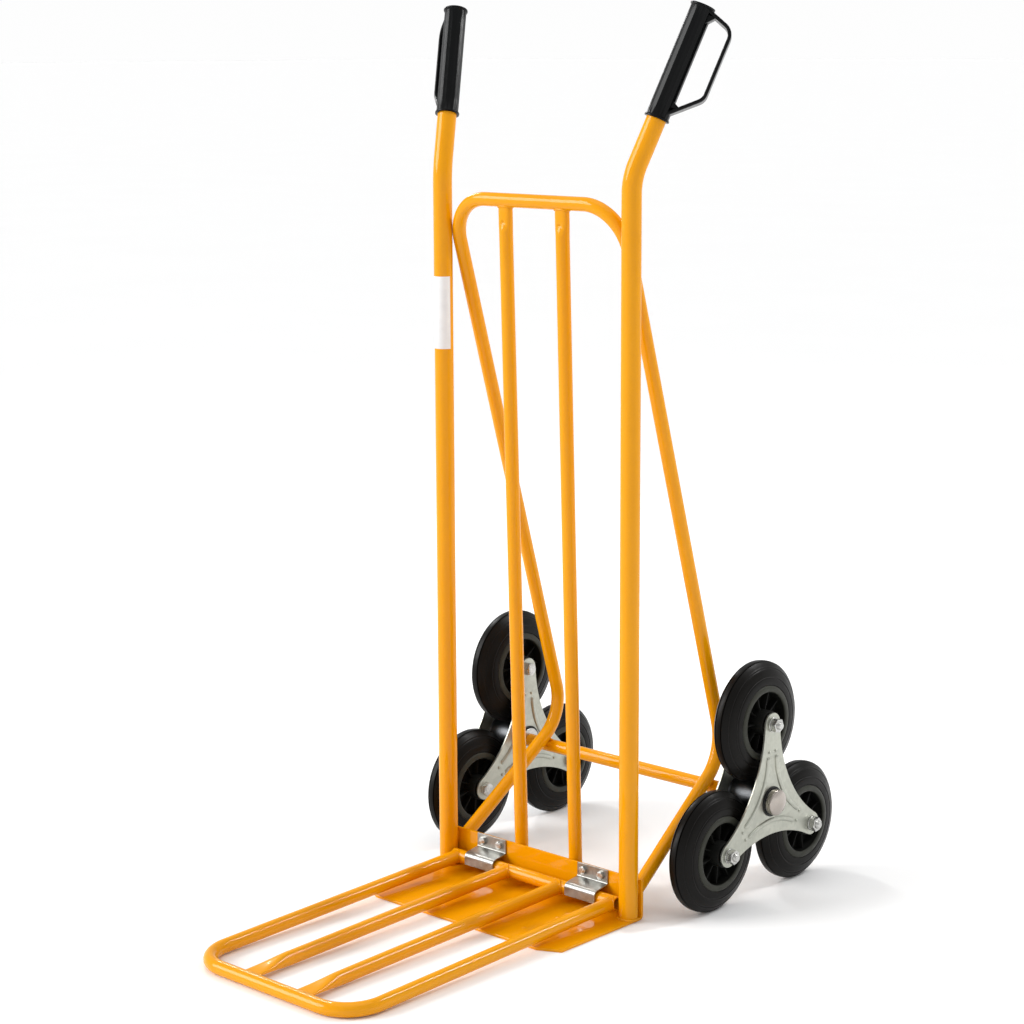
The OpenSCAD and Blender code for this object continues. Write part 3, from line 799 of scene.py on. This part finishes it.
def web(outline, half):
    """A wedge that backs a root of the strap. outline is a triangle in (out, along)."""
    middle = (sum(a for a, _ in outline) / 3, sum(b for _, b in outline) / 3)
    rings = []
    for y, inset in ((-half, 0.12), (-half + 0.8, 0.0), (half - 0.8, 0.0), (half, 0.12)):
        rings.append([Vector((a + (middle[0] - a) * inset, y, b + (middle[1] - b) * inset))
                      for a, b in outline])
    return loft(rings)


# ---------- folding toe frame ----------

def toe_point(x, reach):
    """A point of the frame's plane, which drops from the hinge to the front bar."""
    return Vector((x, HINGE_Y - reach, HINGE_Z - (HINGE_Z - FRONT_BAR_Z) / TOE_REACH * reach))


def hinge_tube_shape():
    return tube([Vector((way * HINGE_HALF, HINGE_Y, HINGE_Z)) for way in (-1, 1)], TUBE_R, Z, 44)


def toe_loop_shape():
    """A U of tube whose two ends are welded to the hinge tube."""
    corners = [toe_point(SIDE_BAR_X, 0), toe_point(SIDE_BAR_X, TOE_REACH),
               toe_point(-SIDE_BAR_X, TOE_REACH), toe_point(-SIDE_BAR_X, 0)]
    path = bent_path(corners, [0, FRONT_CORNER_R, FRONT_CORNER_R, 0], 3.0)
    rings = sweep(path, circle(TUBE_R, 44), X, caps=None)
    hinge = Vector((0, HINGE_Y, HINGE_Z))
    ahead = (corners[1] - corners[0]).normalized()
    beads = Shape()
    for k in (0, -1):
        beads.add(bead(meet_tube(rings[k], ahead, hinge, X, TUBE_R + HINGE_BEAD_OUT), 0.85))
        rings[k] = meet_tube(rings[k], ahead, hinge, X, TUBE_R - WELD_BITE)
    return loft(rings).add(beads)


def slat_shape():
    """A slat whose front end is pressed into a wide spoon and welded to the front bar."""
    back, front = toe_point(SLAT_X, 0), toe_point(SLAT_X, TOE_REACH - 6)
    length = (front - back).length

    def section(_, left):
        press = 1 - smoothstep(8, 68, left)
        wide, deep = TUBE_R + 4.4 * press, TUBE_R - 6.6 * press
        outline = []
        for a, b in ellipse(wide, deep, 44, 2 + 0.8 * press):
            # the top of the spoon is a shallow hollow
            hollow = 0.8 * press * max(0.0, 1 - (a / wide) ** 2) if b > 0 else 0.0
            outline.append((a, b - hollow))
        return outline

    steps = [0, 0.3, 0.6] + [1 - k * 2.5 / length for k in range(34, 0, -1)] + [1]
    path = [back.lerp(front, t) for t in steps]
    rings = sweep(path, section, X, caps=None)
    if rings[0][11].z < rings[0][33].z:
        # the section's top came out below, so it is turned over
        rings = sweep(path, lambda far, left: [(a, -b) for a, b in section(far, left)], X, caps=None)
    hinge = Vector((0, HINGE_Y, HINGE_Z))
    ahead = (front - back).normalized()
    weld = bead(meet_tube(rings[0], ahead, hinge, X, TUBE_R + HINGE_BEAD_OUT), 1.6)
    rings[0] = meet_tube(rings[0], ahead, hinge, X, TUBE_R - WELD_BITE)
    bar = toe_point(SLAT_X, TOE_REACH)
    rim = meet_tube(rings[-1], -ahead, bar, X, TUBE_R + 0.2)
    return loft(rings).add(weld).add(bead(rim, 1.3))


# ---------- stars ----------

def star_side_r():
    """Radius of the concave sides, which touch the round tips of two arms and pass the axle at the waist."""
    along, across = ARM / 2 - WAIST, ARM * sin(pi / 3)
    return (along ** 2 + across ** 2 - TIP_R ** 2) / (2 * (TIP_R + along))


def star_radius(theta):
    """Distance from the axle to the star's outline at an angle from its top arm, in degrees."""
    part = abs((theta + 60) % 120 - 60)
    a = radians(part)
    side_r = star_side_r()
    centre = side_r + WAIST
    if part <= TIP_HALF_ANGLE:
        return ARM * cos(a) + sqrt(TIP_R ** 2 - (ARM * sin(a)) ** 2)
    b = radians(60 - part)
    return centre * cos(b) - sqrt(side_r ** 2 - (centre * sin(b)) ** 2)


def star_ribs_shape(way):
    """Three pressed ribs, one beside each concave side, raised from z 0 towards way."""
    bow, waist, sweep_half, height, half = 103.5, 26.0, 28.2, 2.2, 3.3
    shape = Shape()
    for bisector in (60, 180, 300):
        a = radians(bisector)
        centre = polar(waist + bow, a, 0)
        turns = [a + pi + radians(sweep_half * (k / 30 - 1)) for k in range(61)]
        path = [centre + polar(bow, b, 0) for b in turns]

        def section(far, left):
            end = sqrt(1 - (1 - min(1.0, (min(far, left) + 0.15) / half)) ** 2)
            outline = []
            for k in range(13):
                t = pi * k / 12
                outline.append((half * end * cos(t), way * height * end * sin(t) ** 0.8))
            return outline + [(-half * end, -0.4 * way), (half * end, -0.4 * way)]

        rows = frames(path, centre.normalized())
        total = rows[-1][0]
        rings = []
        for p, (far, tangent, u, _) in zip(path, rows):
            rings.append([p + u * across + Z * up for across, up in section(far, total - far)])
        shape.add(loft(rings))
    return shape


def star_dots_shape(way):
    """Two small round bosses on each arm, past the ends of the ribs."""
    reach, spread = 67.5, 6.6
    dome = [(2.1, -0.4), (2.1, 0.3), (1.9, 0.9), (1.4, 1.5), (0.7, 1.8)]
    dot = turned([(radius, way * z) for radius, z in dome], 28)
    shape = Shape()
    for arm in (0, 120, 240):
        for side in (-1, 1):
            shape.add(dot, spin(arm) @ Matrix.Translation((reach, side * spread, 0)))
    return shape


def star_angles():
    """Directions of the outline's points, in degrees. They are closer together round the tips."""
    side = 60 - TIP_HALF_ANGLE
    half = [TIP_HALF_ANGLE * k / 14 for k in range(14)] + [TIP_HALF_ANGLE + side * k / 38 for k in range(38)]
    arm = [-a for a in half[:0:-1]] + half
    return [base + a for base in (0, 120, 240) for a in arm + [60]]


def star_plate_shape(way):
    """A plate from z 0 to its thickness, with its edge broken and its ribs and bosses raised towards way."""
    directions = star_angles()
    hole, t = 13.1, STAR_T

    def ring(inset, z):
        points = []
        for theta in directions:
            r = hole if inset is None else star_radius(theta) - inset
            points.append(polar(r, radians(theta), z))
        return points

    profile = [(None, 0.0), (None, t), (1.3, t), (0.6, t), (0.17, t - 0.17), (0.0, t - 0.6), (0.0, 0.6),
               (0.17, 0.17), (0.6, 0.0), (1.3, 0.0)]
    shape = loft([ring(inset, z) for inset, z in profile], round_trip=True)
    face = lift(t if way > 0 else 0)
    return shape.add(star_ribs_shape(way), face).add(star_dots_shape(way), face)


def axle_matrix(side, z=0.0):
    """Local +Z points outwards along the axle and local +X points up."""
    sign = SIDES[side]
    return basis(Z, Y, X * sign, (sign * z, AXLE_Y, AXLE_Z))


def arm_matrices(side, z=0.0):
    """Local +Z points outwards along each wheel's bolt."""
    for angle in PLACES.values():
        yield axle_matrix(side, z) @ spin(angle) @ Matrix.Translation((ARM, 0, 0))


def hub_tube_shape():
    """The tube between the two plates, with a weld at each end."""
    z0, z1, r, bore = INNER_PLATE + STAR_T + GAP, OUTER_PLATE - GAP, 22.5, 20.0
    weld = 1.3
    return lathe([(bore, z0), (r + weld, z0), (r + weld * 0.7, z0 + weld * 0.6), (r, z0 + weld * 1.4),
                  (r, z1 - weld * 1.4), (r + weld * 0.7, z1 - weld * 0.6), (r + weld, z1), (bore, z1)], 80)


def axle_bush_shape():
    """Two flanged bushes that face each other, one in each plate."""
    inner_face, outer_face = 184.05, 246.15
    bush = lathe([(7.6, 0.3), (7.9, 0), (19.4, 0), (20, 0.5), (20, 1.3), (19.7, 1.7), (13, 1.7), (13, 13.6),
                  (12.6, 14), (7.9, 14), (7.6, 13.7)])
    flipped = lift(outer_face) @ Matrix.Scale(-1, 4, Z)
    return gather(bush, [lift(inner_face), flipped])


def wheel_bolt_shape():
    """Head inside the inner plate, shank through the wheel, threaded tail beyond the nut."""
    start, shank_end, tail_end = INNER_PLATE - GAP, 244, 258.35
    bolt = hex_body(WHEEL_BOLT_AF, 6.4, chamfered=(True, False)).at(lift(start - 6.4))
    bolt.add(turned([(2.0, start - 6.55), (6.6, start - 6.5), (7.2, start - 6.3), (7.2, start - 6)], 48))
    bolt.add(turned([(WHEEL_BOLT_R, start - 0.2), (WHEEL_BOLT_R, shank_end)], 32))
    return bolt.add(thread(WHEEL_BOLT_R, shank_end, tail_end))


def cap_shape():
    """A pressed cap: a straight wall, a rounded shoulder and a low dome."""
    z, r, wall, shoulder, top = 247.95, 17.3, 5.6, 1.8, 9.9
    profile = [(7.6, z + 1.3), (16.0, z + 1.3), (16.2, z + 0.1), (r, z), (r, z + wall)]
    profile += [(r - shoulder * (1 - cos(a)), z + wall + shoulder * sin(a))
                for a in [radians(d) for d in range(10, 71, 10)]]
    rim_r, rim_z = profile[-1]
    for k in range(1, 12):
        share = k / 12
        profile.append((rim_r * (1 - share), rim_z + (z + top - rim_z) * (1 - (1 - share) ** 2)))
    return turned(profile, 72)


# ---------- wheels ----------

def tyre_shape():
    """A solid rubber tyre: a narrow crown between two grooves, and swelling sidewalls with a faint ridge."""
    base_r, side_r, side_centre = 49.5, 42.0, -24.0
    crown_r, crown_c = 22.0, 58.0
    crown_half, groove_x, groove_half, groove_depth = 7.4, 4.6, 1.0, 1.7
    tread = []
    for k in range(99):
        x = crown_half * (k / 49 - 1)
        crown = crown_c + sqrt(crown_r ** 2 - x * x)
        side = base_r + sqrt(side_r ** 2 - (abs(x) - side_centre) ** 2)
        groove = 1 - smoothstep(groove_half * 0.4, groove_half, abs(abs(x) - groove_x))
        tread.append((min(crown, side) - groove_depth * groove, x))
    wall = []
    for k in range(65):
        r = 76.4 - 26.0 * k / 64
        ridge = 0.30 * exp(-((r - 61.0) / 0.8) ** 2) - 0.45 * exp(-((r - 59.4) / 0.7) ** 2)
        ridge += 0.35 * exp(-((r - 72.6) / 0.7) ** 2) - 0.5 * exp(-((r - 71.2) / 0.6) ** 2)
        wall.append((r, side_centre + sqrt(side_r ** 2 - (r - base_r) ** 2) + ridge))
    wall += [(49.9, 17.7), (49.5, 17.1)]
    profile = tread + wall + [(49.5, 0)] + [(r, -x) for r, x in wall[::-1]]
    return lathe(profile[::-1], 112)


def rim_shape():
    """A plastic rim: a rolled ring, a web, ten thin ribs a side and a hub boss."""
    ring = [(49.45, 16.6), (49.35, 17.6), (48.9, 18.3), (47.8, 18.9), (46.0, 19.3), (44.0, 19.5),
            (42.4, 19.45), (41.5, 19.1), (41.0, 18.4), (40.7, 17.2), (40.2, 5.0), (39.2, 3.4), (37.5, 3.0)]
    hub = [(19.5, 3.0), (17.8, 3.5), (17.2, 5.0), (17.0, 23.0), (16.4, 24.0), (15.6, 24.2), (12.2, 24.2),
           (11.05, 23.4)]
    upper = ring + hub
    profile = upper + [(r, -z) for r, z in upper[::-1]]
    shape = lathe(profile[::-1], 96)
    for i in range(10):
        for way in (-1, 1):
            shape.add(rib_shape(way), spin(36 * (i + 0.5)))
    # faces beyond the ribs take the ring's olive-grey; the faces inside take the near-black that paints the
    # recess's shade
    return shape.tag(lambda p: hypot(p.x, p.y) > RIB_END_R)


def rib_shape(way):
    """One thin radial rib between the hub and the ring."""
    half, top, bevel = 0.9, 12.5, 0.35
    outline = [(-half, 2.5), (half, 2.5), (half, top - 0.5), (half - bevel, top), (-half + bevel, top),
               (-half, top - 0.5)]
    return loft([[Vector((r, y, z * way)) for y, z in outline] for r in (16.4, RIB_END_R)])


def wheel_bush_shape():
    """A plain sleeve in the wheel's hub, which runs on the spacer."""
    return lathe([(8.15, -25.0), (8.5, -25.2), (10.7, -25.2), (11, -24.9),
                  (11, 24.9), (10.7, 25.2), (8.5, 25.2), (8.15, 25.0)], 48)


def wheel_spacer_shape():
    """A tube on the wheel's bolt that holds the two plates apart."""
    return washer(8, BOLT_HOLE_R, INNER_PLATE + STAR_T + GAP, PLATES_GAP - 2 * GAP, 48)


def label_shape():
    """Thin blank film round the front of the left upright."""
    low, high, sweep_angle, steps = 714.0, 809.0, 172.0, 36
    edge, full = (12.56, 12.62), (12.55, 12.8)
    turns = [radians(-90 - sweep_angle / 2 + sweep_angle * i / steps) for i in range(steps + 1)]
    axis = Vector((-UPRIGHT_X, 0, 0))
    rings = []
    for (r_in, r_out), z in ((edge, low), (full, low + 0.4), (full, (low + high) / 2), (full, high - 0.4),
                             (edge, high)):
        outside = [axis + polar(r_out, a, z) for a in turns]
        rings.append(outside + [axis + polar(r_in, a, z) for a in turns[::-1]])
    return loft(rings)


# ---------- assembly ----------

def build_frame(make):
    for side, sign in SIDES.items():
        make.pieces("frame", [
            ("upright_tube", sided(upright_shape(), side), "orange_paint", "upright"),
            ("centre_bar_pressed", sided(centre_bar_shape(), side), "orange_paint", "centre_bar"),
            ("grip_moulding", sided(grip_shape(), side), "grip_plastic", "grip")], f"_{side}")
        make.piece(f"clip_fold_{side}", clip_shape(sign * CLIP_X), "frame", "zinc_clip",
                   [f"hinge_clip_{side}"], slot="zinc_plate")
    ends = [axle_matrix(side) for side in SIDES]
    inside = washer(AXLE_WASHER_R, AXLE_HOLE_R, AXLE_TUBE_HALF, WASHER_T)
    outside = washer(AXLE_WASHER_R, AXLE_HOLE_R, OUTER_WASHER_X, WASHER_T)
    make.pieces("frame", [
        ("hoop_tube", hoop_shape(), "orange_paint", "brace_hoop"),
        ("axle_tube_welded", axle_tube_shape(), "orange_paint", "axle_tube"),
        ("toe_plate_sheet", toe_plate_shape(), "orange_paint", "toe_plate"),
        ("clip_bolt_heads", clip_bolts_shape(), "zinc_fastener", "clip_bolts"),
        ("clip_nut_set", clip_nuts_shape(), "zinc_fastener", "clip_nuts"),
        ("label_sheet", label_shape(), "label_film", "blank_label"),
        ("axle_cap_domes", gather(cap_shape(), ends), "chrome_cap", "axle_caps"),
        ("axle_washers_inside", gather(inside, ends), "zinc_fastener", "axle_inner_washers"),
        ("axle_washers_outside", gather(outside, ends), "zinc_fastener", "axle_outer_washers")])


def build_toe_frame(make):
    make.pieces("toe_frame", [
        ("hinge_tube_open", hinge_tube_shape(), "orange_paint", "toe_hinge_tube"),
        ("toe_loop_tube", toe_loop_shape(), "orange_paint", "toe_loop")])
    for side in SIDES:
        make.pieces("toe_frame", [
            ("toe_slat_pressed", sided(slat_shape(), side), "orange_paint", "toe_slat")], f"_{side}")


def build_star(make, side):
    axle = axle_matrix(side)
    inner = star_plate_shape(-1).at(axle_matrix(side, INNER_PLATE))
    outer = star_plate_shape(1).at(axle_matrix(side, OUTER_PLATE))
    arms = list(arm_matrices(side))
    turned_arms = [arm @ spin(angle) for arm, angle in zip(arms, (12, 40, -9))]
    nut = hex_body(WHEEL_BOLT_AF, 8, bore=WHEEL_BOLT_R).at(lift(WHEEL_NUT_X))
    flat_washer = washer(10, BOLT_HOLE_R, WHEEL_WASHER_X, 2.0)
    make.pieces(f"star_{side}", [
        ("star_plate_inner", inner, "zinc_plate", "star_inner_plate"),
        ("star_plate_outer", outer, "zinc_plate", "star_outer_plate"),
        ("star_hub", hub_tube_shape().at(axle), "dark_tube", "star_hub_tube"),
        ("axle_bush_pair", axle_bush_shape().at(axle), "bush_plastic", "axle_bushes"),
        ("wheel_bolt_set", gather(wheel_bolt_shape(), turned_arms), "zinc_fastener", "wheel_bolts"),
        ("wheel_nut_set", gather(nut, turned_arms), "zinc_fastener", "wheel_nuts"),
        ("wheel_washer_set", gather(flat_washer, arms), "zinc_fastener", "wheel_washers"),
        ("wheel_spacer_set", gather(wheel_spacer_shape(), arms), "zinc_fastener", "wheel_spacers")],
        f"_{side}")


def build_wheels(make, side):
    for place, matrix in zip(PLACES, arm_matrices(side, WHEEL_X)):
        end = f"_{side}_{place}"
        make.pieces(f"wheel{end}", [("tyre_moulding", tyre_shape().at(matrix), "tyre_rubber", "tyre")], end)
        make.piece(f"rim_moulding{end}", rim_shape().at(matrix), f"wheel{end}", "rim_plastic", [f"rim{end}"],
                   second="rim_ring")
        make.pieces(f"wheel{end}", [
            ("wheel_bush_sleeve", wheel_bush_shape().at(matrix), "bush_plastic", "wheel_bush")], end)


# ---------- stage ----------

def build_floor():
    material, tree, shader = new_material("floor_paper", Specular_IOR_Level=0.1)
    tones = ramp(tree, noise_at(tree, 1.5, 3), [(0.3, (0.94, 0.94, 0.94)), (0.7, (0.95, 0.95, 0.95))])
    link(tree, tones, shader.inputs["Base Color"])
    shader.inputs["Roughness"].default_value = 0.8
    half = 150.0
    mesh = bpy.data.meshes.new("floor")
    corners = [(-half, -half, 0), (half, -half, 0), (half, half, 0), (-half, half, 0)]
    mesh.from_pydata(corners, [], [(0, 1, 2, 3)])
    mesh.materials.append(material)
    floor = new_object("floor", mesh)


def add_light(name, kind, place, target, energy):
    data = bpy.data.lights.new(name, kind)
    data.energy = energy
    light = new_object(name, data)
    light.location = place
    light.rotation_euler = (Vector(target) - light.location).to_track_quat("-Z", "Y").to_euler()
    return data


def sun_light(name, place, strength, spread):
    """A far light that shines from place towards the origin. spread is in degrees."""
    add_light(name, "SUN", place, (0, 0, 0), strength).angle = radians(spread)


def area_light(name, place, target, width, height, power):
    """A rectangle that lies at place and faces target."""
    data = add_light(name, "AREA", place, target, power)
    data.shape = "RECTANGLE"
    data.size = width
    data.size_y = height


def build_lights():
    world = bpy.data.worlds.new("studio")
    world.use_nodes = True
    tree = world.node_tree
    direction = add_node(tree, "ShaderNodeTexCoord")
    split = add_node(tree, "ShaderNodeSeparateXYZ")
    link(tree, direction.outputs["Generated"], split.inputs["Vector"])
    sky = ramp(tree, split.outputs["Z"], [(0.0, 0.99), (0.10, 0.97), (0.30, 0.62), (1.0, 0.57)])
    link(tree, sky, tree.nodes["Background"].inputs["Color"])
    bpy.context.scene.world = world
    sun_light("key", (-1.9, -2.0, 1.4), 2.3, 35)
    sun_light("overhead", (0, 0, 3), 0.40, 50)
    area_light("right_strip", (1.15, 1.65, 2.20), (0, -0.27, 0), 0.22, 1.0, 24)
    area_light("left_strip", (-2.20, 0.85, 2.20), (0, 0, 0.02), 0.10, 1.0, 20)
    bpy.context.scene.view_settings.view_transform = "Standard"


def build_camera():
    """The photo's view: yaw is counted from +Y towards -X."""
    place = Vector((2.0495, -2.2685, 1.1051))
    yaw, pitch, roll = radians(42.64457), radians(-10.93805), radians(-0.26063)
    ahead = Vector((-sin(yaw) * cos(pitch), cos(yaw) * cos(pitch), sin(pitch)))
    right = Vector((cos(yaw), sin(yaw), 0))
    up = right.cross(ahead)
    data = bpy.data.cameras.new("photo_view")
    data.sensor_width = 36.0
    data.lens = 84.911
    data.clip_start = 0.05
    data.clip_end = 400
    camera = new_object("photo_view", data)
    camera.matrix_world = basis(right, up, -ahead, place) @ Matrix.Rotation(roll, 4, "Z")
    bpy.context.scene.camera = camera


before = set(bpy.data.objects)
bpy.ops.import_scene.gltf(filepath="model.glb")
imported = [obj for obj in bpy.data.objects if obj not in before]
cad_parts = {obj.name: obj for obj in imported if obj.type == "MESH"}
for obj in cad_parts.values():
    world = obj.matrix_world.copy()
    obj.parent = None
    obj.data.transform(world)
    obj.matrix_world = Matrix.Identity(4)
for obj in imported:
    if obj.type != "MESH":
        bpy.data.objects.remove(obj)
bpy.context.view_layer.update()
maker = Builder(make_materials())
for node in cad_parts.values():
    node.data.materials.clear()
    node.data.materials.append(maker.materials["steel_rod"])
build_camera()
build_floor()
build_lights()
build_frame(maker)
build_toe_frame(maker)
for which in SIDES:
    build_star(maker, which)
    build_wheels(maker, which)
